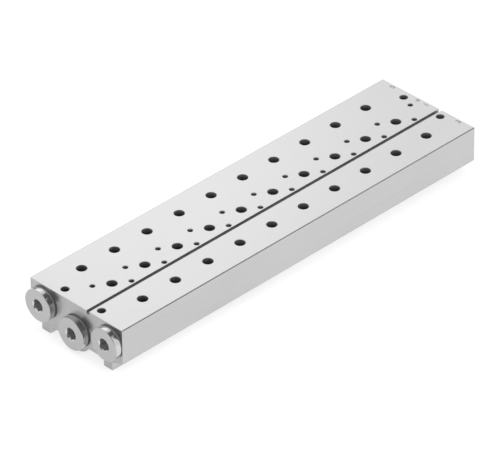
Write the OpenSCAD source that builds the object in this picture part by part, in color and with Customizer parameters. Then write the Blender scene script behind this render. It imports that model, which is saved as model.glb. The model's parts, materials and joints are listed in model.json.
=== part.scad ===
// Multiple connecting rail for ten plate-mounted valves: one extruded and drilled
// rail, and a screw plug with a sealing ring in each of its three ducts at one end.
// X runs along the rail towards the open end, Y across it and Z up. The origin is the
// middle of the four mounting holes, at the height of the surface the rail stands on.

/* [Valve stations] */
// Number of valve places on the rail
stations = 10; // [2:1:16]
// Distance from one valve place to the next
station_pitch = 22; // [21:0.5:30]
// Distance of the outer rows of port holes from their ducts' centre lines
row_inset = 3.4; // [0:0.1:4]
// Shift of the outer rows along the rail, one way at the front and the other at the back
row_skew = 1.5; // [0:0.1:4]
// Diameter of a port hole
port_hole_d = 5.5; // [3:0.1:7]
// Distance of a valve screw from its middle port hole, along the rail
screw_x = 8.1; // [6:0.1:9]
// Distance of a valve screw from the middle row, across the rail
screw_y = 5.2; // [3:0.1:6]
// Core diameter of the valve screw threads
screw_core_d = 2.6; // [1.6:0.1:3.2]
// Depth of a valve screw hole, measured on its straight wall
screw_depth = 8; // [4:0.5:8]

/* [Rail] */
// Length of rail beyond the first and the last valve place
end_margin = 24; // [20:0.5:40]
// Width of the rail
rail_w = 64.2; // [62:0.2:80]
// Height from the feet to the top face
rail_h = 27; // [25.5:0.5:34]
// Height of the upright side walls
side_wall_h = 19.7; // [17:0.1:21]
// Height of the underside above the feet, between the feet and the round rib
underside_z = 4.3; // [3:0.1:6]
// Height of the underside just outside each foot, where it starts to slope up
flank_z = 5; // [4:0.1:6]
// Width of a foot
foot_w = 6.2; // [3:0.1:8]
// Distance of a foot's outer side from the side of the rail
foot_inset = 7.3; // [5:0.1:8]
// Radius of the round rib below the middle duct
rib_r = 9.2; // [8:0.1:10]
// Height cut flat off the rib, where the rail stands on it
rib_flat = 0.2; // [0.1:0.1:0.5]
// Radius of the inner corners of the section
inner_r = 1; // [0.3:0.1:1.5]
// Radius of the outer corners of the section
outer_r = 0.4; // [0.2:0.1:1]

/* [Label groove] */
// Width of the groove in the top face
groove_w = 2; // [1:0.1:3]
// Depth of the groove
groove_depth = 2; // [1:0.1:3]
// Distance of the groove from the middle row, towards the front
groove_y = 8.4; // [8:0.1:10]

/* [Ducts] */
// Diameter of a duct
duct_d = 11.4; // [9:0.1:12]
// Distance of the outer ducts' centre lines from the sides of the rail
duct_inset = 9; // [8:0.1:10]
// Depth of the outer ducts' centre lines below the top face
outer_duct_drop = 10.6; // [9:0.1:12]
// Depth of the middle duct's centre line below the top face
middle_duct_drop = 15.9; // [15:0.1:17]
// Major diameter of the pipe thread at both ends of a duct
thread_d = 13.157; // [12:0.001:14]
// Length of the pipe thread in the rail
thread_depth = 13; // [12.5:0.5:18]
// Chamfer at the mouth of the thread
thread_chamfer = 0.6; // [0.2:0.1:1]

/* [Mounting and earth holes] */
// Diameter of a mounting hole
mount_hole_d = 4.3; // [3:0.1:5]
// Distance between the two lines of mounting holes, across the rail
mount_spacing_y = 25.5; // [25:0.1:30]
// Distance of a mounting hole from the end of the rail
mount_inset = 4.9; // [4:0.1:8]
// Distance of the earth screw's hole from the open end of the rail
earth_inset = 7.7; // [5:0.1:12]
// Distance of the earth screw's hole from the middle row
earth_y = 5.4; // [3:0.1:7]

/* [Screw plugs] */
// Diameter of a plug's head
plug_head_d = 17.8; // [17:0.1:18.5]
// Thickness of a plug's head
plug_head_t = 3.2; // [2:0.1:5]
// Chamfer on the front edge of the head
plug_head_chamfer = 0.2; // [0.1:0.1:1]
// Length of a plug's shank below its head
plug_shank_l = 11; // [10:0.5:12]
// Length of the plain neck below the head
plug_neck_l = 2.4; // [1.5:0.1:3]
// Depth of the neck below the thread
plug_neck_depth = 1; // [0.5:0.1:1.5]
// Chamfer at the end of the shank
plug_end_chamfer = 1; // [0.5:0.1:1.5]
// Width across flats of the hexagon socket
hex_af = 6; // [5:0.5:7]
// Depth of the hexagon socket
hex_depth = 5; // [4:0.5:6]
// Diameter of the chamfered mouth of the socket
hex_mouth_d = 7.3; // [7:0.1:9]
// Radial clearance between the plug's thread and the rail's
thread_clearance = 0.05; // [0.02:0.01:0.2]

/* [Sealing rings] */
// Distance of a ring's edge inside the edge of its plug's head
seal_inset = 0.3; // [0:0.1:1]
// Thickness of a ring
seal_t = 0.8; // [0.5:0.1:2]
// Radial clearance between a ring and the thread of its plug
seal_clearance = 0.1; // [0.05:0.05:0.3]

/* [Hidden] */
$fn = 96;
cut = 1;
drill_tip_angle = 118;
station_span = (stations - 1) * station_pitch;
rail_l = station_span + 2 * end_margin;
foot_out = rail_w / 2 - foot_inset;
foot_in = foot_out - foot_w;
rib_z = rib_r - rib_flat;
outer_duct_y = rail_w / 2 - duct_inset;
row_offset = outer_duct_y - row_inset;
screw_places = [[-screw_x, screw_y], [screw_x, -screw_y]];
mount_x = rail_l / 2 - mount_inset;
plug_thread_d = thread_d - 2 * thread_clearance;
seal_d = plug_head_d - 2 * seal_inset;
hex_corner_r = hex_af / 2 / cos(30);
hex_mouth_r = hex_mouth_d / 2;
// Each duct: its distance across the rail and its depth below the top face
back_duct = [outer_duct_y, outer_duct_drop];
middle_duct = [0, middle_duct_drop];
front_duct = [-outer_duct_y, outer_duct_drop];
// Each row of port holes: its shift along the rail, its distance across the rail
// and the depth of the duct that it opens into
port_rows = [[-row_skew, row_offset, outer_duct_drop],
             [0, 0, middle_duct_drop],
             [row_skew, -row_offset, outer_duct_drop]];
// Right half of the section, from the middle of the top face round to the underside:
// across, up and the radius of the corner there, where 0 leaves it sharp
half_section = [[rail_w / 2, rail_h, outer_r],
                [rail_w / 2, rail_h - side_wall_h, 0],
                [foot_out, flank_z, inner_r],
                [foot_out, 0, outer_r],
                [foot_in, 0, outer_r],
                [foot_in, underside_z, inner_r]];
section = concat(half_section,
                 [for (i = [len(half_section) - 1 : -1 : 0])
                     [-half_section[i][0], half_section[i][1], half_section[i][2]]]);

function flat(p) = [p[0], p[1]];
function unit(v) = v / norm(v);
function turn(a, b, c) = cross(b - a, c - b);

// What lies between a corner and the arc that rounds it, with a little to spare behind
// the corner. It fills an inner corner and cuts an outer one.
module corner(before, p, after, r) {
    u = unit(before - p);
    v = unit(after - p);
    half_angle = acos(u * v) / 2;
    reach = r / tan(half_angle);
    centre = p + unit(u + v) * r / sin(half_angle);
    difference() {
        polygon([p + u * reach, p + (p - centre) * 0.5, p + v * reach, centre]);
        translate(centre) circle(r = r);
    }
}

// Corners of the section that turn left, or those that turn right
module section_corners(side) {
    n = len(section);
    for (i = [0 : n - 1]) {
        before = flat(section[(i + n - 1) % n]);
        p = flat(section[i]);
        after = flat(section[(i + 1) % n]);
        r = section[i][2];
        if (r > 0 && turn(before, p, after) * side > 0) corner(before, p, after, r);
    }
}

// Round rib under the middle duct, flat where it meets the feet's plane
module rib_section() {
    intersection() {
        translate([0, rib_z]) circle(r = rib_r);
        translate([-rib_r, 0]) square([2 * rib_r, rib_z]);
    }
}

// Fillet between the rib and the underside, on one side of the rib
module rib_fillet(side) {
    fillet_z = underside_z - inner_r;
    fillet_y = side * sqrt(pow(rib_r + inner_r, 2) - pow(rib_z - fillet_z, 2));
    difference() {
        polygon([[0, rib_z], [fillet_y, underside_z + inner_r], [fillet_y, fillet_z]]);
        translate([fillet_y, fillet_z]) circle(r = inner_r);
    }
}

module along_rail() {
    translate([-rail_l / 2, 0, 0]) rotate([90, 0, 90]) linear_extrude(rail_l) children();
}

// The extruded bar before it is drilled
module bar() {
    difference() {
        union() {
            along_rail() polygon([for (p = section) flat(p)]);
            along_rail() section_corners(1);
            along_rail() rib_section();
            for (side = [-1, 1]) along_rail() rib_fillet(side);
        }
        along_rail() section_corners(-1);
        along_rail() translate([-groove_y - groove_w / 2, rail_h - groove_depth])
            square([groove_w, groove_depth + cut]);
    }
}

// Blind drilled hole that opens upwards at the origin
module drilled_hole(d, depth) {
    tip = d / 2 / tan(drill_tip_angle / 2);
    rotate_extrude()
        polygon([[0, -depth - tip], [d / 2, -depth], [d / 2, cut], [0, cut]]);
}

// Half of a duct's outline, from the middle of the rail to one end: radius and distance
module duct_outline() {
    end = rail_l / 2;
    thread_r = thread_d / 2;
    polygon([[0, -cut],
             [duct_d / 2, -cut],
             [duct_d / 2, end - thread_depth],
             [thread_r, end - thread_depth],
             [thread_r, end - thread_chamfer],
             [thread_r + thread_chamfer + cut, end + cut],
             [0, end + cut]]);
}

// Duct through the whole rail, with a thread and a chamfered mouth at both ends
module duct(place) {
    translate([0, place[0], rail_h - place[1]])
        for (turned = [90, -90]) rotate([0, turned, 0]) rotate_extrude() duct_outline();
}

// Port holes and screw holes of one valve place
module station_holes() {
    for (row = port_rows) translate([row[0], row[1], 0]) drilled_hole(port_hole_d, row[2]);
    for (p = screw_places) translate([p[0], p[1], 0]) drilled_hole(screw_core_d, screw_depth);
}

module rail() {
    color("lightgray") difference() {
        bar();
        for (place = [back_duct, middle_duct, front_duct]) duct(place);
        for (i = [0 : stations - 1])
            translate([i * station_pitch - station_span / 2, 0, rail_h]) station_holes();
        translate([rail_l / 2 - earth_inset, earth_y, rail_h])
            drilled_hole(screw_core_d, screw_depth);
        for (x = [-mount_x, mount_x], y = [-mount_spacing_y / 2, mount_spacing_y / 2])
            translate([x, y, -cut]) cylinder(d = mount_hole_d, h = rail_h + 2 * cut);
    }
}

// Turned outline of a plug: radius and distance from the front of the head
module plug_outline() {
    head_r = plug_head_d / 2;
    thread_r = plug_thread_d / 2;
    neck_r = thread_r - plug_neck_depth;
    neck_end = plug_head_t + plug_neck_l;
    length = plug_head_t + plug_shank_l;
    polygon([[0, 0],
             [head_r - plug_head_chamfer, 0],
             [head_r, plug_head_chamfer],
             [head_r, plug_head_t],
             [neck_r, plug_head_t],
             [neck_r, neck_end],
             [thread_r, neck_end + plug_neck_depth],
             [thread_r, length - plug_end_chamfer],
             [thread_r - plug_end_chamfer, length],
             [0, length]]);
}

// Hexagon socket with a chamfered mouth and the tip of its pilot drill
module hex_socket() {
    tip = hex_af / 2 / tan(drill_tip_angle / 2);
    translate([0, 0, -cut]) cylinder(r = hex_corner_r, h = hex_depth + cut, $fn = 6);
    translate([0, 0, -cut])
        cylinder(r1 = hex_mouth_r + cut, r2 = hex_af / 2, h = hex_mouth_r + cut - hex_af / 2);
    translate([0, 0, hex_depth]) cylinder(d1 = hex_af, d2 = 0, h = tip);
}

// Places a turned piece on its duct's axis, with its zero at the closed end's face
module at_closed_end(place) {
    translate([-rail_l / 2, place[0], rail_h - place[1]]) rotate([0, 90, 0]) children();
}

module plug(place) {
    color("silver") at_closed_end(place) translate([0, 0, -seal_t - plug_head_t])
        difference() {
            rotate_extrude() plug_outline();
            hex_socket();
        }
}

module seal(place) {
    color("dimgray") at_closed_end(place) translate([0, 0, -seal_t])
        difference() {
            cylinder(d = seal_d, h = seal_t);
            translate([0, 0, -cut])
                cylinder(d = plug_thread_d + 2 * seal_clearance, h = seal_t + 2 * cut);
        }
}

module plug_back() { plug(back_duct); }
module plug_middle() { plug(middle_duct); }
module plug_front() { plug(front_duct); }
module seal_back() { seal(back_duct); }
module seal_middle() { seal(middle_duct); }
module seal_front() { seal(front_duct); }

rail();
plug_back();
plug_middle();
plug_front();
seal_back();
seal_middle();
seal_front();
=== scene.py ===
# %% [markdown]
# # A drilled aluminium rail with its screw plugs
# This lesson dresses a connecting rail for ten valves. On the real product one long bar
# comes out of an extrusion die with its ducts and feet already in its section. It is sawn
# to length, milled flat on top, drilled, tapped, and closed at one end with three plugs.
# Each step below follows one of those jobs, because a metal part looks right when its
# edges, tool marks and finishes come from how it was made.

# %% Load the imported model
import json
import math
import bmesh
import bpy
from mathutils import Matrix, Vector


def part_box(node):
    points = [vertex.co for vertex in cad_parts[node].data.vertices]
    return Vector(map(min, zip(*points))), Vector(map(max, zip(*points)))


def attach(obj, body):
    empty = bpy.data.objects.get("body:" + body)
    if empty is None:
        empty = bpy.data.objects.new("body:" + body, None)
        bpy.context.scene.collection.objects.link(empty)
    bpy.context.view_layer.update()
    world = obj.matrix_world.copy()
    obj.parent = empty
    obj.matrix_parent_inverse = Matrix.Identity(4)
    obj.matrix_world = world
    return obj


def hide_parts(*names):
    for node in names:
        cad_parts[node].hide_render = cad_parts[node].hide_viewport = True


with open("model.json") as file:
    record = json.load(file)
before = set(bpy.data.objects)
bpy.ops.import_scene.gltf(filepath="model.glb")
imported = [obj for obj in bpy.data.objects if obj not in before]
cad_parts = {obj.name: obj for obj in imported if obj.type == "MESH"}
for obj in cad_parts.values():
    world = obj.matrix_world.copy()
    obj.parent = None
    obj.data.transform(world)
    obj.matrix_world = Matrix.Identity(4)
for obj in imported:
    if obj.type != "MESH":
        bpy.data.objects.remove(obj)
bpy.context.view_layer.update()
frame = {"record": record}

# %% [markdown]
# ## Sizes
# Blender works in metres here and a machinist in millimetres, so every size below is
# written as millimetres times `MM`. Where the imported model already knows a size, it is
# read from there: the box of a solid, or a mount, which is a hole or a face with its
# place and its radius. What neither of them tells is written as a number.

# %% Sizes taken from the solids and their mounts
MM = 0.001
mounts = {m["name"]: m for m in frame["record"]["mounts"]}
rail_low, rail_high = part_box("rail")
rail_half = rail_high.x
rail_half_w = rail_high.y
rail_top = rail_high.z
duct_names = ("back", "middle", "front")
duct_centres = {n: Vector(mounts["port_" + n]["pos_m"]) for n in duct_names}
thread_r = mounts["port_middle"]["dims"]["r_mm"] * MM
valve_screws, mounting = (mounts[n]["dims"] for n in ("station_1_screws", "mounting_holes"))
station_xs = sorted(m["pos_m"][0] for n, m in mounts.items() if n.startswith("station_"))
print("stations:", len(station_xs), "pitch in mm:", (station_xs[1] - station_xs[0]) / MM)

# %% [markdown]
# ## The camera
# A product photograph of a long part is taken from far away with a long lens, which keeps
# its edges almost parallel. The camera is placed by a heading, an elevation and a distance
# from a point on the object, and turned by the last half degree of roll the picture shows.

# %% Camera
HEADING = math.radians(44.666)
ELEVATION = math.radians(34.590)
ROLL = math.radians(-0.512)
DISTANCE = 2.5291
AIM = Vector((1.517, 6.677, 8.432)) * MM
LENS_MM = 366.88
SENSOR_MM = 36
CLIP_M = 20   # the floor reaches further than the usual clipping distance

look = Vector((math.sin(HEADING) * math.cos(ELEVATION),
               math.cos(HEADING) * math.cos(ELEVATION),
               -math.sin(ELEVATION)))
camera_data = bpy.data.cameras.new("camera")
camera_data.lens = LENS_MM
camera_data.sensor_width = SENSOR_MM
camera_data.clip_end = CLIP_M
camera = bpy.data.objects.new("camera", camera_data)
bpy.context.scene.collection.objects.link(camera)
camera.rotation_mode = "QUATERNION"
camera.location = AIM - look * DISTANCE
camera.rotation_quaternion = (look.to_track_quat("-Z", "Y")
                              @ Matrix.Rotation(ROLL, 4, "Z").to_quaternion())
bpy.context.scene.camera = camera
print("camera at", [round(v, 3) for v in camera.location])

# %% [markdown]
# ## Nodes without repetition
# A material is a small graph. One function adds a node, with its settings and its links,
# so that a material below reads as a short list. Colours are written as the hex values a
# designer would pick on screen, and one function turns them into the linear values that
# the renderer adds up.

# %% Helpers for materials
def linear(hex_colour):
    """The renderer's linear colour for an sRGB hex value."""
    channels = [int(hex_colour[i:i + 2], 16) / 255 for i in (1, 3, 5)]
    return tuple(c / 12.92 if c < 0.04045 else ((c + 0.055) / 1.055) ** 2.4
                 for c in channels) + (1.0,)


def add_node(tree, kind, settings=None, *in_order, ramp=(), **named):
    """Adds a node. Its inputs come in order, or by name with _ for a space. Each is a
    value, an output, or a node, which stands for its first output. A ramp is hex colours."""
    node = tree.nodes.new(kind)
    for name, value in (settings or {}).items():
        setattr(node, name, value)
    for place, colour in enumerate(ramp):
        node.color_ramp.elements[place].color = linear(colour)
    given = [(node.inputs[place], value) for place, value in enumerate(in_order)]
    given += [(node.inputs[name.replace("_", " ")], value) for name, value in named.items()]
    for socket, value in given:
        if isinstance(value, bpy.types.Node):
            value = value.outputs[0]
        if isinstance(value, bpy.types.NodeSocket):
            tree.links.new(value, socket)
        else:
            socket.default_value = value
    return node


def new_material(name):
    """An empty material and its node tree."""
    material = bpy.data.materials.new(name)
    material.use_nodes = True
    material.node_tree.nodes.clear()
    return material, material.node_tree


print("#BDBDBD is", [round(c, 3) for c in linear("#BDBDBD")], "to the renderer")

# %% [markdown]
# ## Studio
# Metal shows the room more than it shows its own colour, so the room is built for it.
# Round a plain sheet of paper stands a white room, which every metal face mirrors. One
# softbox makes the top fade towards the far end, and one does the same for the long side.
# Two cards near the plugs, which only reflections can see, give their bright rims dark
# bands, as photographers do with cutlery. The background is white because the paper glows
# a little for the rays of the camera and of mirrors, so it still darkens under the object.

# %% A white room, and the rays that see it
def seen_rays(tree):
    """1 for the rays by which the camera, a mirror or a glass sees something."""
    path = add_node(tree, "ShaderNodeLightPath")
    seen = path.outputs["Is Camera Ray"]
    for other in ("Is Glossy Ray", "Is Transmission Ray"):
        seen = add_node(tree, "ShaderNodeMath", {"operation": "MAXIMUM"}, seen,
                        path.outputs[other])
    return seen


def white_room(light):
    """A world that lights at one level and is seen as white."""
    world = bpy.data.worlds.new("white_room")
    world.use_nodes = True
    tree = world.node_tree
    tree.nodes.clear()
    strength = add_node(tree, "ShaderNodeMapRange", Value=seen_rays(tree), To_Min=light,
                        To_Max=1.0)
    room = add_node(tree, "ShaderNodeBackground", Color=linear("#FFFFFF"), Strength=strength)
    add_node(tree, "ShaderNodeOutputWorld", Surface=room)
    bpy.context.scene.world = world


ROOM_LIGHT = 0.85
white_room(ROOM_LIGHT)
bpy.context.scene.view_settings.view_transform = "Standard"
print("the room lights at", ROOM_LIGHT)

# %% Floor of pale paper
def pale_paper(glow):
    """Matt paper, which takes a soft shadow. Its glow is for the rays that see it."""
    material, tree = new_material("pale_paper")
    paper = add_node(tree, "ShaderNodeBsdfDiffuse", Color=linear("#BDBDBD"))
    strength = add_node(tree, "ShaderNodeMath", {"operation": "MULTIPLY"}, seen_rays(tree),
                        glow)
    lit = add_node(tree, "ShaderNodeEmission", Color=linear("#FFFFFF"), Strength=strength)
    both = add_node(tree, "ShaderNodeAddShader", None, paper, lit)
    add_node(tree, "ShaderNodeOutputMaterial", Surface=both)
    return material


def studio_sheet(name, half_side, place, facing, material):
    """A square sheet of the studio, which isn't part of the object."""
    bm = bmesh.new()
    bmesh.ops.create_grid(bm, x_segments=1, y_segments=1, size=half_side)
    turn = Vector(facing).to_track_quat("Z", "Y").to_matrix().to_4x4()
    bmesh.ops.transform(bm, verts=bm.verts, matrix=Matrix.Translation(place) @ turn)
    mesh = bpy.data.meshes.new(name)
    bm.to_mesh(mesh)
    bm.free()
    mesh.materials.append(material)
    obj = bpy.data.objects.new(name, mesh)
    bpy.context.scene.collection.objects.link(obj)
    return obj


FLOOR_HALF = 12.0   # m
FLOOR_GAP = 0.05    # keeps the paper's surface apart from the feet that stand on it
PAPER_GLOW = 0.66   # with the light that falls on the paper, this is seen as white
UP = (0, 0, 1)
studio_sheet("floor", FLOOR_HALF, (0, 0, -FLOOR_GAP * MM), UP, pale_paper(PAPER_GLOW))
print("floor of", 2 * FLOOR_HALF, "m")

# %% Two small cards near the plugs, for reflections alone
def card_felt(name, shade):
    """Matt felt, dark enough to read as a dark stripe in a bright rim."""
    material, tree = new_material(name)
    felt = add_node(tree, "ShaderNodeBsdfDiffuse", Color=linear(shade))
    add_node(tree, "ShaderNodeOutputMaterial", Surface=felt)
    return material


plugged_end = Vector((rail_low.x, 0, rail_top / 2))
CARDS = {   # shade, place seen from the plugged end, and half of its side, in m
    "grey_card": ("#949494", Vector((-0.072, -0.056, 0.078)), 0.072),
    "dark_card": ("#5C5C5C", Vector((0.17, -0.06, 0.235)), 0.075),
}

for name, (shade, away, half_side) in CARDS.items():
    card = studio_sheet(name, half_side, plugged_end + away, -away, card_felt(name, shade))
    card.visible_camera = card.visible_diffuse = card.visible_shadow = False
    print(name, "stands", round(away.length, 3), "m from the plugged end")

# %% Softboxes
def softbox(name, place, aim, side, power):
    """A square lamp, turned from its place to its aim. Lengths in m, power in W."""
    lamp = bpy.data.lights.new(name, "AREA")
    lamp.size = side
    lamp.energy = power
    box = bpy.data.objects.new(name, lamp)
    box.location = place
    box.rotation_mode = "QUATERNION"
    box.rotation_quaternion = (Vector(aim) - Vector(place)).to_track_quat("-Z", "Y")
    bpy.context.scene.collection.objects.link(box)
    print(name, "gives", power, "W")


softbox("softbox_for_top", place=(0.16, 0.263, 0.283), aim=(-0.10, 0, 0.027), side=0.22,
        power=0.07)
softbox("softbox_for_side", place=(-0.16, -0.22, 0.30), aim=(-0.13, -0.07, 0), side=0.15,
        power=0.17)

# %% [markdown]
# ## One bar of aluminium, seven finishes
# The skin that left the die is anodised and the top was milled after that. The ends were
# sawn, the long edges were broken, the holes were drilled and some of them tapped, and the
# marks were burnt in by laser. The eye knows these apart by how bright they are, how sharply
# they mirror and which way their fine marks run, so each finish gets those three things.
# Some of that brightness is painted light: the top is painted lighter and the ends darker,
# the groove takes the ends' colour as painted shade, the rounded long edge is painted as a
# dark reflection line, and the holes are painted darker with depth as shade. All of them
# read Object coordinates, which are metres, and turn them into millimetres, so that the
# size of a mark can be written as it would be measured.

# %% Coordinates in millimetres
def object_mm(tree, centre=(0, 0, 0), stretch=(1, 1, 1)):
    """Millimetres from a centre that is given in metres, drawn out along each axis."""
    place = add_node(tree, "ShaderNodeTexCoord").outputs["Object"]
    scale = [1 / (MM * s) for s in stretch]
    return add_node(tree, "ShaderNodeMapping", Vector=place, Scale=scale,
                    Location=[-c * s for c, s in zip(centre, scale)])


WAVE_MM = math.pi / 10   # at a scale of 1, a Wave texture repeats after this length
print("a wave of 1 mm needs a scale of", round(WAVE_MM, 3))

# %% Anodised skin, as extruded
def anodised_skin():
    """Clear anodised aluminium. Satin, with hairlines that the die drew along the bar."""
    material, tree = new_material("anodised_skin")
    hairline_mm, hairline_stretch, handling_mm = 0.5, 240, 30
    hairlines = add_node(tree, "ShaderNodeTexNoise", Scale=1 / hairline_mm, Detail=3.0,
                         Vector=object_mm(tree, stretch=(hairline_stretch, 1, 1)))
    handling = add_node(tree, "ShaderNodeTexNoise", Scale=1 / handling_mm, Detail=3.0,
                        Vector=object_mm(tree))
    metal = add_node(
        tree, "ShaderNodeBsdfPrincipled", Metallic=1.0,
        Base_Color=add_node(tree, "ShaderNodeValToRGB", Fac=hairlines,
                            ramp=("#C4C4C4", "#CECECE")),
        Roughness=add_node(tree, "ShaderNodeMapRange", Value=handling, To_Min=0.42,
                           To_Max=0.54),
        Normal=add_node(tree, "ShaderNodeBump", Height=hairlines, Distance=0.01 * MM))
    add_node(tree, "ShaderNodeOutputMaterial", Surface=metal)
    return material


skin_finish = anodised_skin()
print("made", skin_finish.name)

# %% Milled top
def milled_top():
    """Face-milled aluminium, crossed by the cutter's faint arcs. Its colour is brighter than
    the skin's, partly as bare milled metal and partly as painted light on the top.
    """
    material, tree = new_material("milled_top")
    cutter_r_mm, patch_mm = 45, 25
    arc_pitch_mm = 1.2   # a real pass leaves arcs 0.2 mm apart, too fine to show
    split = add_node(tree, "ShaderNodeSeparateXYZ", Vector=object_mm(tree))
    x, y = split.outputs["X"], split.outputs["Y"]
    across = add_node(tree, "ShaderNodeMath", {"operation": "MULTIPLY"}, y, y)
    inside = add_node(tree, "ShaderNodeMath", {"operation": "SUBTRACT"}, cutter_r_mm ** 2,
                      across)
    reach = add_node(tree, "ShaderNodeMath", {"operation": "SQRT"}, inside)
    advance = add_node(tree, "ShaderNodeMath", {"operation": "SUBTRACT"}, x, reach)
    turns = add_node(tree, "ShaderNodeMath", {"operation": "MULTIPLY"}, advance,
                     2 * math.pi / arc_pitch_mm)
    wave = add_node(tree, "ShaderNodeMath", {"operation": "SINE"}, turns)
    arcs = add_node(tree, "ShaderNodeMapRange", Value=wave, From_Min=-1.0)
    patches = add_node(tree, "ShaderNodeTexNoise", Scale=1 / patch_mm, Detail=3.0,
                       Vector=object_mm(tree))
    metal = add_node(
        tree, "ShaderNodeBsdfPrincipled", Metallic=1.0,
        # brighter than the skin: partly bare metal, partly painted light on the top
        Base_Color=add_node(tree, "ShaderNodeValToRGB", Fac=patches,
                            ramp=("#D4D4D4", "#DADADA")),
        Roughness=add_node(tree, "ShaderNodeMapRange", Value=patches, To_Min=0.40,
                           To_Max=0.50),
        Normal=add_node(tree, "ShaderNodeBump", Height=arcs, Distance=0.001 * MM))
    add_node(tree, "ShaderNodeOutputMaterial", Surface=metal)
    return material


top_finish_painted_light = milled_top()
print("made", top_finish_painted_light.name)

# %% Both sawn ends, and the groove; their darker colour is partly painted shade
def sawn_face():
    """Sawn aluminium with level saw marks, which mirrors the plugs softly. Its greyer colour
    is partly painted shade on the ends, and painted shade in the groove.
    """
    material, tree = new_material("sawn_face")
    saw_pitch_mm, patch_mm = 0.9, 8
    marks = add_node(tree, "ShaderNodeTexWave", {"bands_direction": "Z"},
                     Vector=object_mm(tree), Scale=WAVE_MM / saw_pitch_mm,
                     Distortion=0.6, Detail=2.0).outputs["Fac"]
    patches = add_node(tree, "ShaderNodeTexNoise", Scale=1 / patch_mm, Detail=3.0,
                       Vector=object_mm(tree))
    metal = add_node(
        tree, "ShaderNodeBsdfPrincipled", Metallic=1.0,
        # greyer than the skin: partly painted shade on the ends, painted shade in the groove
        Base_Color=add_node(tree, "ShaderNodeValToRGB", Fac=patches,
                            ramp=("#A9A9A9", "#B3B3B3")),
        Roughness=add_node(tree, "ShaderNodeMapRange", Value=marks, To_Min=0.26,
                           To_Max=0.34),
        Normal=add_node(tree, "ShaderNodeBump", Height=marks, Distance=0.004 * MM))
    add_node(tree, "ShaderNodeOutputMaterial", Surface=metal)
    return material


sawn_finish_painted_shade = sawn_face()
print("made", sawn_finish_painted_shade.name)

# %% Broken edge
def broken_edge():
    """Anodised aluminium at the rounded corner beside the milled top. Its colour is painted
    dark, as the thin dark line of a reflection.
    """
    material, tree = new_material("broken_edge")
    hairline_mm, hairline_stretch = 0.3, 240
    hairlines = add_node(tree, "ShaderNodeTexNoise", Scale=1 / hairline_mm, Detail=3.0,
                         Vector=object_mm(tree, stretch=(hairline_stretch, 1, 1)))
    metal = add_node(
        # painted reflection: a dark line along the rounded edge
        tree, "ShaderNodeBsdfPrincipled", Metallic=1.0,
        Base_Color=add_node(tree, "ShaderNodeValToRGB", Fac=hairlines,
                            ramp=("#767676", "#848484")),
        Roughness=add_node(tree, "ShaderNodeMapRange", Value=hairlines, To_Min=0.25,
                           To_Max=0.35))
    add_node(tree, "ShaderNodeOutputMaterial", Surface=metal)
    return material


edge_finish_painted_dark = broken_edge()
print("made", edge_finish_painted_dark.name)

# %% Drilled bore
def drilled_bore():
    """Drilled aluminium. Its colour is painted lighter at the mouth and dark below, as shade
    where little light gets.
    """
    material, tree = new_material("drilled_bore")
    feed_mm, painted_shade_depth_mm = 0.4, 4.5
    split = add_node(tree, "ShaderNodeSeparateXYZ", Vector=object_mm(tree))
    below_top = add_node(tree, "ShaderNodeMath", {"operation": "SUBTRACT"}, rail_top / MM,
                         split.outputs["Z"])
    along = add_node(tree, "ShaderNodeMath", {"operation": "ABSOLUTE"}, split.outputs["X"])
    inside_end = add_node(tree, "ShaderNodeMath", {"operation": "SUBTRACT"}, rail_half / MM,
                          along)
    depth = add_node(tree, "ShaderNodeMath", {"operation": "MINIMUM"}, below_top, inside_end)
    # painted shade: darker with depth below the top and in from the ends
    shade = add_node(tree, "ShaderNodeMapRange", Value=depth, From_Max=painted_shade_depth_mm)
    rings = add_node(tree, "ShaderNodeTexNoise", Scale=1 / feed_mm, Detail=3.0,
                     Vector=object_mm(tree, stretch=(1, 1, 6)))
    metal = add_node(
        tree, "ShaderNodeBsdfPrincipled", Metallic=1.0,
        Base_Color=add_node(tree, "ShaderNodeValToRGB", Fac=shade,
                            ramp=("#B4B4B4", "#484848")),
        Roughness=add_node(tree, "ShaderNodeMapRange", Value=rings, To_Min=0.55,
                           To_Max=0.70),
        Normal=add_node(tree, "ShaderNodeBump", Height=rings, Distance=0.01 * MM))
    add_node(tree, "ShaderNodeOutputMaterial", Surface=metal)
    return material


bore_finish_painted_shade = drilled_bore()
print("made", bore_finish_painted_shade.name)

# %% Tapped thread
def tapped_thread():
    """Tapped aluminium. Its colour is painted nearly black, as shade in the smallest holes."""
    material, tree = new_material("tapped_thread")
    grain_mm = 0.3
    grain = add_node(tree, "ShaderNodeTexNoise", Scale=1 / grain_mm, Detail=3.0,
                     Vector=object_mm(tree))
    metal = add_node(
        tree, "ShaderNodeBsdfPrincipled", Metallic=1.0,
        # nearly black: painted shade in the small tapped holes
        Base_Color=add_node(tree, "ShaderNodeValToRGB", Fac=grain,
                            ramp=("#3A3A3A", "#4A4A4A")),
        Roughness=add_node(tree, "ShaderNodeMapRange", Value=grain, To_Min=0.30,
                           To_Max=0.45))
    add_node(tree, "ShaderNodeOutputMaterial", Surface=metal)
    return material


thread_finish_painted_shade = tapped_thread()
print("made", thread_finish_painted_shade.name)

# %% Laser marking
def laser_marking():
    """Anodic skin burnt by a laser. A dull dark grey that mirrors nothing."""
    material, tree = new_material("laser_marking")
    grain_mm = 0.3
    grain = add_node(tree, "ShaderNodeTexNoise", Scale=1 / grain_mm, Detail=3.0,
                     Vector=object_mm(tree))
    burnt = add_node(
        tree, "ShaderNodeBsdfPrincipled", Metallic=0.0, Roughness=0.8,
        Base_Color=add_node(tree, "ShaderNodeValToRGB", Fac=grain,
                            ramp=("#505050", "#707070")))
    add_node(tree, "ShaderNodeOutputMaterial", Surface=burnt)
    return material


mark_finish = laser_marking()
print("made", mark_finish.name)

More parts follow.
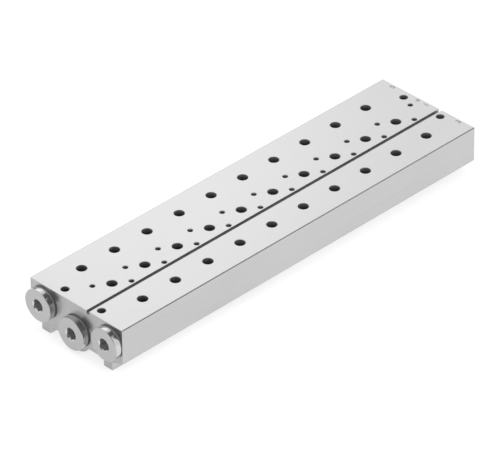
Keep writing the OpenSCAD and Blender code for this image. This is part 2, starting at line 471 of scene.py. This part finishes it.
# %% The rail's finishes, in the order of its material slots
TOP, SKIN, SAWN_OR_PAINTED_SHADE, EDGE, BORE, THREAD, MARK = range(7)
rail_finishes = [top_finish_painted_light, skin_finish, sawn_finish_painted_shade, edge_finish_painted_dark, bore_finish_painted_shade,
                 thread_finish_painted_shade, mark_finish]
print("the rail wears", len(rail_finishes), "finishes")

# %% [markdown]
# Every piece here is one mesh whose object stays at the origin, so that its place is in
# its vertices. One function turns a bmesh into such a piece; another hangs it on the root
# body, hides the solids it stands for, and shades it the way a machined part wants: round
# where it was turned, sharp where two cuts meet.

# %% From bmesh to piece
SHARP = math.radians(32)

def mesh_object(name, bm, finishes):
    """An object at the origin, with its faces pointing outwards."""
    bmesh.ops.recalc_face_normals(bm, faces=bm.faces)
    mesh = bpy.data.meshes.new(name)
    bm.to_mesh(mesh)
    bm.free()
    for finish in finishes:
        mesh.materials.append(finish)
    piece = bpy.data.objects.new(name, mesh)
    bpy.context.scene.collection.objects.link(piece)
    return piece


def make_piece(piece, slot, *nodes):
    piece.data.shade_smooth()
    piece.data.set_sharp_from_angle(angle=SHARP)
    weighted = piece.modifiers.new("flat_faces_stay_flat", "WEIGHTED_NORMAL")
    weighted.keep_sharp = True
    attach(piece, "root")
    if nodes:
        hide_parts(*nodes)
    print(piece.name, "has", len(piece.data.polygons), "faces")


# %% [markdown]
# ## The bar
# The real bar's shape is one outline, pushed through a die. The same idea makes the mesh:
# a few corner points give half of the outline, two spun points give the round rib and
# the fillet beside it, a mirror gives the other half, and one extrusion gives the bar.
# Rounding the corners while the outline is still flat is cheap and clean, because each
# rounded corner then runs the whole length of the bar.

# %% Section of the bar: corners as (across, up, radius) in mm
SIDE_FOOT_Z = 7.3
FOOT_OUT, FOOT_IN = 24.8, 18.6
RIB_R, RIB_Z = 9.2, 9.0
FILLET_R = 1.0
UNDERSIDE_Z = 4.3
INNER_R, OUTER_R = 1.0, 0.4
GROOVE_Y, GROOVE_W, GROOVE_DEPTH = -8.4, 2.0, 2.0
CORNER_STEPS, FILLET_STEPS, RIB_STEPS = 5, 6, 14
CLOSE = 1e-7   # vertices nearer than this are one vertex

fillet_y = math.sqrt((RIB_R + FILLET_R) ** 2 - (RIB_Z - UNDERSIDE_Z + FILLET_R) ** 2)
flat_half = math.sqrt(RIB_R ** 2 - RIB_Z ** 2)   # half of the narrow flat under the rib
half_corners = [(rail_half_w / MM, rail_top / MM, OUTER_R),
                (rail_half_w / MM, SIDE_FOOT_Z, 0),
                (FOOT_OUT, 5.0, INNER_R),
                (FOOT_OUT, 0, OUTER_R),
                (FOOT_IN, 0, OUTER_R),
                (FOOT_IN, UNDERSIDE_Z, INNER_R),
                (fillet_y, UNDERSIDE_Z, 0)]
print("the rib's fillet starts", round(fillet_y, 2), "mm from the middle")


def at(y, z):
    """A point of the section, from its place across and up in mm."""
    return Vector((0, y * MM, z * MM))


def spun_arc(bm, start, centre, angle, steps):
    """Adds an arc to a chain of edges by spinning its last vertex."""
    spun = bmesh.ops.spin(bm, geom=[start], cent=centre, axis=(1, 0, 0), angle=angle,
                          steps=steps)
    return spun["geom_last"][0]


def chain(bm, points):
    """A chain of edges through the points. Returns its vertices."""
    verts = [bm.verts.new(p) for p in points]
    for a, b in zip(verts, verts[1:]):
        bm.edges.new((a, b))
    return verts


def half_outline(bm):
    """Right half of the outline, from its top corner to the flat under the rib."""
    half = chain(bm, [at(y, z) for y, z, r in half_corners])
    toward_rib = math.atan2(RIB_Z - UNDERSIDE_Z + FILLET_R, fillet_y)
    rib_start = spun_arc(bm, half[-1], at(fillet_y, UNDERSIDE_Z - FILLET_R),
                         math.pi / 2 - toward_rib, FILLET_STEPS)
    spun_arc(bm, rib_start, at(0, RIB_Z), toward_rib - math.atan2(RIB_Z, flat_half),
             RIB_STEPS)
    bmesh.ops.remove_doubles(bm, verts=bm.verts, dist=CLOSE)


def vertex_at(bm, y, z):
    """The vertex nearest to a point of the section."""
    return min(bm.verts, key=lambda v: (v.co - at(y, z)).length)


# %% The whole outline: mirrored, closed by the label groove and rounded
def bar_outline():
    """The bar's section as one flat face, with its groove and its rounded corners."""
    bm = bmesh.new()
    half_outline(bm)
    bmesh.ops.mirror(bm, geom=bm.verts[:] + bm.edges[:], axis="Y", merge_dist=CLOSE)
    across, up = rail_half_w / MM, rail_top / MM
    groove = chain(bm, [at(GROOVE_Y + side * GROOVE_W / 2, up - drop)
                        for side, drop in ((1, 0), (1, GROOVE_DEPTH),
                                           (-1, GROOVE_DEPTH), (-1, 0))])
    bm.edges.new((vertex_at(bm, across, up), groove[0]))
    bm.edges.new((groove[-1], vertex_at(bm, -across, up)))
    bm.edges.new((vertex_at(bm, flat_half, 0), vertex_at(bm, -flat_half, 0)))
    bmesh.ops.edgeloop_fill(bm, edges=bm.edges)
    for y, z, r in half_corners:
        if r:
            corners = [vertex_at(bm, side * y, z) for side in (1, -1)]
            bmesh.ops.bevel(bm, geom=corners, offset=r * MM, offset_type="OFFSET",
                            segments=CORNER_STEPS, profile=0.5, affect="VERTICES",
                            material=-1)
    return bm


# %% One extrusion, and a fine chamfer round both ends
END_CHAMFER = 0.15
LEVEL, TILTED, LENGTHWISE = 0.99, 0.1, 0.9   # how much of a normal points that way

def extruded_bar():
    """The section pushed out to the bar's length, with the finish of each face chosen."""
    bm = bar_outline()
    bmesh.ops.translate(bm, verts=bm.verts, vec=(rail_low.x, 0, 0))
    pushed = bmesh.ops.extrude_face_region(bm, geom=bm.faces[:])
    moved = [v for v in pushed["geom"] if isinstance(v, bmesh.types.BMVert)]
    bmesh.ops.translate(bm, verts=moved, vec=(rail_high.x - rail_low.x, 0, 0))
    bmesh.ops.recalc_face_normals(bm, faces=bm.faces)
    for face in bm.faces:
        middle, n = face.calc_center_median(), face.normal
        near_top = middle.z > rail_top - OUTER_R * MM
        on_top = near_top and n.z > LEVEL
        # the rounded corner beside the top gets the edge colour, painted dark as a reflection
        # line
        rounded = near_top and n.z > TILTED and abs(n.y) > TILTED
        # the groove takes the sawn colour as painted shade; the ends' darker colour is partly
        # painted shade
        in_groove = abs(middle.y / MM - GROOVE_Y) < GROOVE_W and middle.z > rail_top / 2
        sawn = abs(n.x) > LENGTHWISE or in_groove
        face.material_index = (SAWN_OR_PAINTED_SHADE if sawn else TOP if on_top else EDGE if rounded
                               else SKIN)
    rims = [e for e in bm.edges
            if sorted(abs(f.normal.x) > LENGTHWISE for f in e.link_faces) == [False, True]]
    bmesh.ops.bevel(bm, geom=rims, offset=END_CHAMFER * MM, offset_type="OFFSET",
                    segments=1, profile=0.5, affect="EDGES", material=-1)
    return bm


bar = mesh_object("rail_body", extruded_bar(), rail_finishes)
print("bar before drilling:", len(bar.data.polygons), "faces")

# %% [markdown]
# ## Drilling
# A drill and a tap leave shapes of revolution, so each cutter is a half outline spun once
# round its axis, as on a lathe. The outline carries what the tool does: a chamfer at the
# mouth, the thread's ridges below it, and the 118 degree tip at the bottom. Boolean
# modifiers then take the cutters out of the bar. Cutters in one group must not overlap,
# so the ducts go first and everything that enters from the top goes second.

# %% A lathe for cutters and turned parts
def lathe(bm, outline, centre, direction, steps, material=0):
    """Spins an outline of (distance, radius) in mm once round an axis along X or Z."""
    axis = Vector(direction)
    side = Vector((0, 0, 1)) if axis.x else Vector((1, 0, 0))
    base = Vector(centre)
    verts = chain(bm, [base + axis * (d * MM) + side * (r * MM) for d, r in outline])
    ends_on_axis = outline[0][1] == 0 and outline[-1][1] == 0
    if not ends_on_axis:
        bm.edges.new((verts[-1], verts[0]))
    before = set(bm.faces)
    geom = verts + [e for v in verts for e in v.link_edges]
    bmesh.ops.spin(bm, geom=list(dict.fromkeys(geom)), cent=base, axis=axis,
                   angle=2 * math.pi, steps=steps, use_merge=True)
    for face in set(bm.faces) - before:
        face.material_index = material


def cut_away(target, bm, name):
    """Takes a group of cutters out of a piece, with their materials."""
    bmesh.ops.remove_doubles(bm, verts=bm.verts, dist=CLOSE)
    cutter = mesh_object(name, bm, target.data.materials[:])
    boolean = target.modifiers.new(name, "BOOLEAN")
    boolean.operation = "DIFFERENCE"
    boolean.solver = "EXACT"
    boolean.object = cutter
    graph = bpy.context.evaluated_depsgraph_get()
    cut = bpy.data.meshes.new_from_object(target.evaluated_get(graph))
    target.modifiers.clear()
    target.data = cut
    bpy.data.objects.remove(cutter)
    print(name, "left", len(cut.polygons), "faces")


# %% The three ducts, with a tapping hole and a chamfered mouth at both ends
DUCT_R = 5.7
THREAD_DEPTH = 13.0
MOUTH_CHAMFER = 0.6
ROUND_STEPS = 64
PAST = 1.0   # how far a cutter sticks out of the bar

def duct_cutters():
    """A cutter for each duct, wide at both ends where the pipe threads are cut."""
    bm = bmesh.new()
    length = (rail_high.x - rail_low.x) / MM
    big = thread_r / MM
    near_end = [(-PAST, 0), (-PAST, big + MOUTH_CHAMFER + PAST),
                (MOUTH_CHAMFER, big), (THREAD_DEPTH, big), (THREAD_DEPTH, DUCT_R)]
    outline = near_end + [(length - d, r) for d, r in reversed(near_end)]
    for centre in duct_centres.values():
        lathe(bm, outline, (rail_low.x, centre.y, centre.z), (1, 0, 0), ROUND_STEPS, BORE)
    return bm


cut_away(bar, duct_cutters(), "ducts")

# %% Ports, screw threads, mounting holes and the earth screw's thread
PORT_R = 2.75
PORT_CHAMFER = 0.15
ROW_INSET, ROW_SKEW = 3.4, 1.5   # the outer rows lie inwards of their ducts, and shifted
SCREW_R, SCREW_MAJOR_R, SCREW_PITCH = valve_screws["hole_r_mm"], 1.5, 0.5
SCREW_DEPTH, SCREW_TURNS = 8.0, 8
SCREW_SINK = 0.3   # depth of the countersink in a tapped hole's mouth
SCREW_X, SCREW_Y = 8.1, 5.2
MOUNT_R, MOUNT_CHAMFER = mounting["hole_r_mm"], 0.2
MOUNT_X, MOUNT_Y = mounting["spacing_x_mm"] / 2, mounting["spacing_y_mm"] / 2
EARTH_X, EARTH_Y = 115.3, 5.4
PORT_STEPS, MOUNT_STEPS, SCREW_STEPS = 40, 32, 24
TIP = math.tan(math.radians(90 - 118 / 2))   # depth of a drill's tip for each mm of radius

def drilled(r, depth, chamfer):
    """Outline of a blind hole, as depth below the face and radius."""
    return [(depth + r * TIP, 0), (depth, r), (chamfer, r), (-PAST, r + chamfer + PAST),
            (-PAST, 0)]


def tapped(r, major_r, depth, sink, pitch, turns):
    """Outline of a tapped hole whose first turns show their ridges."""
    ridges = [(sink + pitch * (n + part), major_r if part else r)
              for n in range(turns) for part in (0, 0.5)]
    return [(depth + r * TIP, 0), (depth, r), *reversed(ridges),
            (-PAST, r + sink + PAST), (-PAST, 0)]


def top_cutters():
    """All that enters from the top: ports, tapped holes and mounting holes."""
    bm = bmesh.new()
    down = (0, 0, -1)
    screw = tapped(SCREW_R, SCREW_MAJOR_R, SCREW_DEPTH, SCREW_SINK, SCREW_PITCH, SCREW_TURNS)
    for x in station_xs:
        for name, row in (("back", 1), ("middle", 0), ("front", -1)):
            duct = duct_centres[name]
            y = duct.y - row * ROW_INSET * MM
            depth = (rail_top - duct.z) / MM
            lathe(bm, drilled(PORT_R, depth, PORT_CHAMFER),
                  (x - row * ROW_SKEW * MM, y, rail_top), down, PORT_STEPS, BORE)
        for side in (-1, 1):
            lathe(bm, screw, (x + side * SCREW_X * MM, -side * SCREW_Y * MM, rail_top),
                  down, SCREW_STEPS, THREAD)
    lathe(bm, screw, (EARTH_X * MM, EARTH_Y * MM, rail_top), down, SCREW_STEPS, THREAD)
    height = rail_top / MM
    mouth = [(-PAST, 0), (-PAST, MOUNT_R + MOUNT_CHAMFER + PAST), (MOUNT_CHAMFER, MOUNT_R)]
    through = mouth + [(height - d, r) for d, r in reversed(mouth)]
    for x in (-MOUNT_X, MOUNT_X):
        for y in (-MOUNT_Y, MOUNT_Y):
            lathe(bm, through, (x * MM, y * MM, rail_top), down, MOUNT_STEPS, BORE)
    for face in bm.faces:
        if face.calc_center_median().z > rail_top - SCREW_SINK * MM:
            face.material_index = BORE
    return bm


cut_away(bar, top_cutters(), "top_holes")

# %% [markdown]
# ## Port numbers and the earth sign
# The real rail carries its port numbers and the earth sign as laser marks a few hundredths
# of a millimetre deep. They are cut here in the same way as the holes, with shallow
# cutters, so they stay level with the face instead of floating on it. A number starts as
# a text curve, which is made a mesh before it is moved to its place.

# %% Shallow cutters for the marks
MARK_DEPTH = 0.05
MARK_X = 121.0
DIGIT_HEIGHT = 3.2
DIGIT_PLACES = {"5": 23.6, "1": 0.0, "3": -22.4}   # digit, and its place across the rail
FONT_CAP = 0.73   # height of a digit of the built-in typeface, for a size of 1
CURVE_STEPS = 4   # enough for the bowl of a digit this small
LINE_W = 0.3
EARTH_STEM_Y, EARTH_STEM_H = 6.58, 1.24
EARTH_BARS = {5.8: 2.8, 5.25: 1.8, 4.7: 0.8}   # place across the rail, and width

def digit_cutter(bm, digit, y):
    """A digit made solid, reaching as far below the top face as above it."""
    curve = bpy.data.curves.new("digit", "FONT")
    curve.body = digit
    curve.size = DIGIT_HEIGHT * MM / FONT_CAP
    curve.extrude = MARK_DEPTH * MM
    curve.align_x = "CENTER"
    curve.resolution_u = CURVE_STEPS
    text = bpy.data.objects.new("digit", curve)
    bpy.context.scene.collection.objects.link(text)
    mesh = bpy.data.meshes.new_from_object(
        text.evaluated_get(bpy.context.evaluated_depsgraph_get()))
    mesh.transform(Matrix.Translation((MARK_X * MM, (y - DIGIT_HEIGHT / 2) * MM, rail_top)))
    bm.from_mesh(mesh)
    bpy.data.objects.remove(text)


def line_cutter(bm, y, width, height):
    """A shallow block, so that it leaves a short line when it is cut away."""
    made = bmesh.ops.create_cube(bm, size=1)
    size = Matrix.Diagonal((width * MM, height * MM, 2 * MARK_DEPTH * MM, 1))
    bmesh.ops.transform(bm, verts=made["verts"],
                        matrix=Matrix.Translation((MARK_X * MM, y * MM, rail_top)) @ size)


def mark_cutters():
    """The port numbers and the earth sign, which is a stem over three bars."""
    bm = bmesh.new()
    for digit, y in DIGIT_PLACES.items():
        digit_cutter(bm, digit, y)
    for y, width in EARTH_BARS.items():
        line_cutter(bm, y, width, LINE_W)
    line_cutter(bm, EARTH_STEM_Y, LINE_W, EARTH_STEM_H)
    for face in bm.faces:
        face.material_index = MARK
    return bm


cut_away(bar, mark_cutters(), "marks")
make_piece(bar, "rail", "rail")

# %% [markdown]
# ## Threads in the open ports
# A thread is one ridge wound round many times. Its cross-section is a flat-topped triangle;
# spinning that face while it also moves along the axis winds the ridge, because spin takes
# a step to move by at each turn step. The ridge is sunk a hair into the wall of the hole,
# and its first turn is planed down by the cone of the chamfer, as a real tap leaves it.

# %% A wound ridge
THREAD_PITCH = 1.337
THREAD_HEIGHT = 0.856
ROOT_HALF, CREST_HALF = 0.45, 0.08   # half of the ridge's width, for a pitch of 1
STEPS_PER_TURN = 48
SUNK = 0.02

def wound_ridge(bm, centre, start, turns, wall_r, crest_r):
    """Winds a ridge along +X from start, in mm from the centre's x. Returns its vertices."""
    root_half, crest_half = THREAD_PITCH * ROOT_HALF, THREAD_PITCH * CREST_HALF
    corners = [(start - root_half, wall_r), (start - crest_half, crest_r),
               (start + crest_half, crest_r), (start + root_half, wall_r)]
    verts = [bm.verts.new(centre + Vector((d, 0, r)) * MM) for d, r in corners]
    before = set(bm.verts) - set(verts)
    face = bm.faces.new(verts)
    steps = round(turns * STEPS_PER_TURN)
    bmesh.ops.spin(bm, geom=[face], cent=centre, axis=(1, 0, 0),
                   dvec=(THREAD_PITCH * MM / STEPS_PER_TURN, 0, 0),
                   angle=2 * math.pi * turns, steps=steps)
    return [v for v in bm.verts if v not in before]


def port_thread(name):
    """The thread of an open port, planed down where the chamfer of its mouth cuts it."""
    bm = bmesh.new()
    mouth = Vector((rail_high.x, duct_centres[name].y, duct_centres[name].z))
    turns = (THREAD_DEPTH - MOUTH_CHAMFER) / THREAD_PITCH - 1
    big = thread_r / MM
    ridge = wound_ridge(bm, mouth, -THREAD_DEPTH + THREAD_PITCH / 2, turns, big + SUNK,
                        big - THREAD_HEIGHT)
    for v in ridge:
        inward = mouth.x - v.co.x
        cone_r = thread_r + MOUTH_CHAMFER * MM - inward
        off_axis = Vector((0, v.co.y - mouth.y, v.co.z - mouth.z))
        if off_axis.length < cone_r:
            v.co += off_axis.normalized() * (cone_r - off_axis.length)
    return mesh_object("port_thread_" + name, bm, [bore_finish_painted_shade])


for name in duct_names:
    make_piece(port_thread(name), "rail")

# %% [markdown]
# ## Screw plugs
# A plug is turned from steel bar, its hexagon is pressed or broached, and the whole is
# zinc plated. Plating leaves a bright, slightly cool metal that mirrors soft shapes: the
# rim of the head shows a hard highlight where it sees the room and goes dark where it sees
# something dark. The face was turned, so fine rings run round its centre.

# %% Zinc plated rim
def zinc_plated_rim():
    """Turned and zinc plated steel. It mirrors the cards and the room, a little blurred."""
    material, tree = new_material("zinc_plated_rim")
    patch_mm = 5
    patches = add_node(tree, "ShaderNodeTexNoise", Scale=1 / patch_mm, Detail=3.0,
                       Vector=object_mm(tree))
    metal = add_node(
        tree, "ShaderNodeBsdfPrincipled", Metallic=1.0,
        Base_Color=add_node(tree, "ShaderNodeValToRGB", Fac=patches,
                            ramp=("#C6C6C7", "#D0D0D1")),
        Roughness=add_node(tree, "ShaderNodeMapRange", Value=patches, To_Min=0.16,
                           To_Max=0.24))
    add_node(tree, "ShaderNodeOutputMaterial", Surface=metal)
    return material


rim_finish = zinc_plated_rim()
print("made", rim_finish.name)

# %% Zinc plated face, with turning rings round its own middle
def zinc_plated_face_painted_shade(name, centre):
    """Faced and zinc plated steel. A flat satin grey with fine rings round the socket, its
    colour set darker than the rim's, partly as a duller turned face and partly as painted
    shade.
    """
    material, tree = new_material("zinc_plated_face_" + name)
    patch_mm = 4
    ring_pitch_mm = 0.6   # a real cut leaves rings 0.15 mm apart, too fine to show
    rings = add_node(tree, "ShaderNodeTexWave", {"wave_type": "RINGS", "rings_direction": "X"},
                     Vector=object_mm(tree, centre), Scale=WAVE_MM / ring_pitch_mm,
                     Distortion=0.3, Detail=1.0).outputs["Fac"]
    patches = add_node(tree, "ShaderNodeTexNoise", Scale=1 / patch_mm, Detail=3.0,
                       Vector=object_mm(tree))
    metal = add_node(
        tree, "ShaderNodeBsdfPrincipled", Metallic=1.0,
        # darker than the rim: partly a duller turned face, partly painted shade
        Base_Color=add_node(tree, "ShaderNodeValToRGB", Fac=rings,
                            ramp=("#B2B2B3", "#B8B8B9")),
        Roughness=add_node(tree, "ShaderNodeMapRange", Value=patches, To_Min=0.28,
                           To_Max=0.36),
        Normal=add_node(tree, "ShaderNodeBump", Height=rings, Distance=0.0015 * MM))
    add_node(tree, "ShaderNodeOutputMaterial", Surface=metal)
    return material


# %% Broached socket
def broached_socket():
    """Broached steel under thin zinc. Rough along its walls, so it glows a dim grey."""
    material, tree = new_material("broached_socket")
    score_mm, score_stretch = 0.5, 6
    scores = add_node(tree, "ShaderNodeTexNoise", Scale=1 / score_mm, Detail=3.0,
                      Vector=object_mm(tree, stretch=(score_stretch, 1, 1)))
    metal = add_node(
        tree, "ShaderNodeBsdfPrincipled", Metallic=1.0,
        Base_Color=add_node(tree, "ShaderNodeValToRGB", Fac=scores,
                            ramp=("#BEBEBE", "#CACACA")),
        Roughness=add_node(tree, "ShaderNodeMapRange", Value=scores, To_Min=0.50,
                           To_Max=0.65),
        Normal=add_node(tree, "ShaderNodeBump", Height=scores, Distance=0.01 * MM))
    add_node(tree, "ShaderNodeOutputMaterial", Surface=metal)
    return material


socket_finish = broached_socket()
print("made", socket_finish.name)

# %% Turning and broaching a plug
FACE, RIM, SOCKET = range(3)
HEAD_R, HEAD_T = 8.9, 3.2
RIM_CHAMFER, RIM_BREAK = 0.2, 0.1
SHANK_L, NECK_L, NECK_R = 11.0, 2.4, 5.5285
PLUG_THREAD_R, PLUG_END = 6.5285, 1.0
PLUG_ROOT_R = PLUG_THREAD_R - THREAD_HEIGHT
HEX_AF, HEX_DEPTH, HEX_CHAMFER = 6.0, 5.0, 0.65
PILOT_R = HEX_AF / 2 - 0.05   # the pilot drill just misses the hexagon's flats
TURNED_STEPS = 96

def plug_blank(centre):
    """The turned blank, from the middle of its face round to the middle of its end."""
    bm = bmesh.new()
    length = HEAD_T + SHANK_L
    outline = [(0, 0), (0, HEAD_R - RIM_CHAMFER), (RIM_CHAMFER, HEAD_R),
               (HEAD_T - RIM_BREAK, HEAD_R), (HEAD_T, HEAD_R - RIM_BREAK),
               (HEAD_T, NECK_R), (HEAD_T + NECK_L, NECK_R),
               (HEAD_T + NECK_L + PLUG_ROOT_R - NECK_R, PLUG_ROOT_R),
               (length - PLUG_END, PLUG_ROOT_R), (length, PLUG_ROOT_R - PLUG_END),
               (length, 0)]
    lathe(bm, outline, centre, (1, 0, 0), TURNED_STEPS)
    bmesh.ops.remove_doubles(bm, verts=bm.verts, dist=CLOSE)
    for face in bm.faces:
        in_front = face.calc_center_median().x < centre.x + RIM_CHAMFER * MM
        face.material_index = FACE if in_front else RIM
    return bm


def hexagon_cutter(centre):
    """A six-sided prism with two corners pointing up and down."""
    bm = bmesh.new()
    corner_r = HEX_AF / math.sqrt(3) * MM
    made = bmesh.ops.create_cone(bm, cap_ends=True, segments=6, radius1=corner_r,
                                 radius2=corner_r, depth=(HEX_DEPTH + PAST) * MM)
    stand = Matrix.Rotation(math.pi / 2, 4, "Y") @ Matrix.Rotation(math.pi / 2, 4, "Z")
    place = Matrix.Translation(centre + Vector((HEX_DEPTH - PAST, 0, 0)) * MM / 2)
    bmesh.ops.transform(bm, verts=made["verts"], matrix=place @ stand)
    for face in bm.faces:
        face.material_index = SOCKET
    return bm


def cone_cutter(centre, outline, material):
    """A turned cutter on a plug's axis."""
    bm = bmesh.new()
    lathe(bm, outline, centre, (1, 0, 0), TURNED_STEPS, material)
    return bm


def plug_centre(name):
    """The middle of a plug's face."""
    low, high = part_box("plug_" + name)
    return Vector((low.x, duct_centres[name].y, duct_centres[name].z))


def screw_plug(name):
    """A turned plug with its hexagon, the hexagon's cone and the tip of its pilot drill."""
    centre = plug_centre(name)
    plug = mesh_object("screw_plug_" + name, plug_blank(centre),
                       [zinc_plated_face_painted_shade(name, centre), rim_finish, socket_finish])
    cut_away(plug, hexagon_cutter(centre), "socket")
    flat_r = HEX_AF / 2
    mouth = [(-PAST, 0), (-PAST, flat_r + HEX_CHAMFER + PAST), (HEX_CHAMFER, flat_r),
             (HEX_CHAMFER, 0)]
    cut_away(plug, cone_cutter(centre, mouth, RIM), "socket_mouth")
    drill_tip = [(HEX_DEPTH - PAST, 0), (HEX_DEPTH - PAST, PILOT_R), (HEX_DEPTH, PILOT_R),
                 (HEX_DEPTH + flat_r * TIP, 0)]
    cut_away(plug, cone_cutter(centre, drill_tip, SOCKET), "drill_tip")
    make_piece(plug, "plug", "plug_" + name)


for name in duct_names:
    screw_plug(name)

# %% The plugs' own threads
def plug_thread(name):
    """The thread wound round a plug's shank, with its crest on the outside."""
    bm = bmesh.new()
    start = HEAD_T + NECK_L + THREAD_PITCH
    turns = (SHANK_L - NECK_L - PLUG_END - THREAD_PITCH) / THREAD_PITCH
    wound_ridge(bm, plug_centre(name), start, turns, PLUG_ROOT_R - SUNK, PLUG_THREAD_R)
    return mesh_object("plug_thread_" + name, bm, [rim_finish])


for name in duct_names:
    make_piece(plug_thread(name), "plug")

# %% [markdown]
# ## Sealing rings
# Under each head lies a flat ring that the plug crushes against the rail. Only its outer
# edge shows, as a dull line between the bright head and the end of the rail. It is drawn as
# a moulded ring of hard grey plastic, with edges rounded by the mould.

# %% Moulded ring
def moulded_ring():
    """Hard moulded plastic. Grey and matt beside the metal, with a faint mould grain."""
    material, tree = new_material("moulded_ring")
    grain_mm = 0.25
    grain = add_node(tree, "ShaderNodeTexNoise", Scale=1 / grain_mm, Detail=3.0,
                     Vector=object_mm(tree))
    plastic = add_node(
        tree, "ShaderNodeBsdfPrincipled", Metallic=0.0,
        Base_Color=add_node(tree, "ShaderNodeValToRGB", Fac=grain,
                            ramp=("#8E8E90", "#9A9A9C")),
        Roughness=add_node(tree, "ShaderNodeMapRange", Value=grain, To_Min=0.50,
                           To_Max=0.65),
        Normal=add_node(tree, "ShaderNodeBump", Height=grain, Distance=0.02 * MM))
    add_node(tree, "ShaderNodeOutputMaterial", Surface=plastic)
    return material


ring_finish = moulded_ring()
print("made", ring_finish.name)

# %% Rings: a rectangle with broken corners, spun once
SEAL_BREAK = 0.12
SEAL_INNER_R = 6.6285

def sealing_ring(name):
    """A ring as wide and as thick as its solid."""
    low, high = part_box("seal_" + name)
    outer, thick = (high.y - low.y) / 2 / MM, (high.x - low.x) / MM
    outline = [(0, SEAL_INNER_R), (0, outer - SEAL_BREAK), (SEAL_BREAK, outer),
               (thick - SEAL_BREAK, outer), (thick, outer - SEAL_BREAK),
               (thick, SEAL_INNER_R)]
    bm = bmesh.new()
    lathe(bm, outline, (low.x, duct_centres[name].y, duct_centres[name].z), (1, 0, 0),
          TURNED_STEPS)
    bmesh.ops.remove_doubles(bm, verts=bm.verts, dist=CLOSE)
    return mesh_object("sealing_ring_" + name, bm, [ring_finish])


for name in duct_names:
    make_piece(sealing_ring(name), "seal", "seal_" + name)
